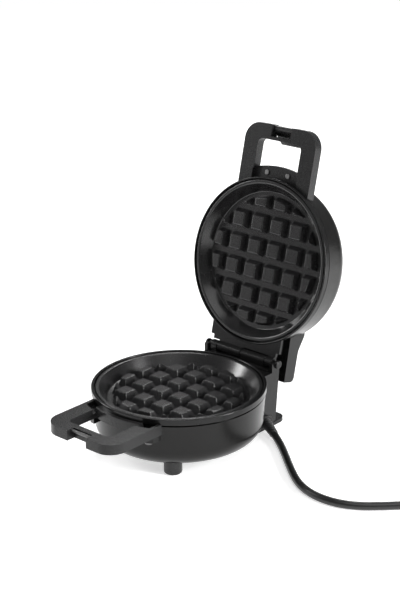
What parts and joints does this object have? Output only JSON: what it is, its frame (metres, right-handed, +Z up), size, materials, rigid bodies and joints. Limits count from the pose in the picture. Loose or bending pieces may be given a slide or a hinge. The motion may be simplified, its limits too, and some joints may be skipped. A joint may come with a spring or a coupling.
{
  "type": "mini waffle maker",
  "caption": "Small electric waffle maker standing open: round base and hinged lid with square-peg plates, loop handles, a flip-over latch and a mains lead.",
  "frame": {"origin": "under the middle of the waffle maker's footprint, on the surface that it stands on, the lead left out", "axes": "+X to the right side seen from the handles, +Y towards the hinge, +Z up"},
  "size_m": [0.3147, 0.3211, 0.2285],
  "materials": {
    "housing": "gloss",
    "rim": "gloss",
    "handle": "satin",
    "fittings": "satin",
    "plate": "satin non-stick coating",
    "steel": "satin",
    "dark_steel": "satin blackened",
    "shield": "satin",
    "foot": "matt",
    "lens": "gloss",
    "block": "matt",
    "lead": "matt",
    "plug": "satin",
    "tie": "matt"
  },
  "bodies": {
    "base": {"base_housing": "housing", "base_rim_ring": "rim", "base_plate": "plate", "base_heater": "steel", "base_heat_shield": "shield", "base_plate_screws": "steel", "front_feet": "foot", "rear_housing": "fittings", "base_handle": "handle", "base_handle_screws": "dark_steel", "latch_catch_pin": "dark_steel", "base_hinge_leaf": "fittings", "hinge_pin": "fittings", "thermostat": "steel", "thermal_fuse": "steel", "terminal_block": "block", "cord_gland": "lead", "cord_run": "lead", "cord_coil": "lead", "cord_tie": "tie", "plug_body": "plug", "plug_pins": "steel"},
    "lid": {"lid_housing": "housing", "lid_rim_ring": "rim", "lid_plate": "plate", "lid_heater": "steel", "lid_heat_shield": "shield", "lid_handle": "handle", "lid_handle_screws": "dark_steel", "lid_hood": "fittings", "lid_hinge_leaf": "fittings", "indicator_lenses": "lens", "latch_pin": "dark_steel"},
    "latch": {"latch_clip": "handle"}
  },
  "joints": [
    {"name": "lid_hinge", "type": "hinge", "parent": "base", "child": "lid", "pos_m": [0, 0.06067, 0.0514], "axis": [1, 0, 0], "range_deg": [0, 103.8]},
    {"name": "latch_hinge", "type": "hinge", "parent": "lid", "child": "latch", "pos_m": [0, 0.11108, 0.22519], "axis": [1, 0, 0], "range_deg": [0, 222]}
  ]
}
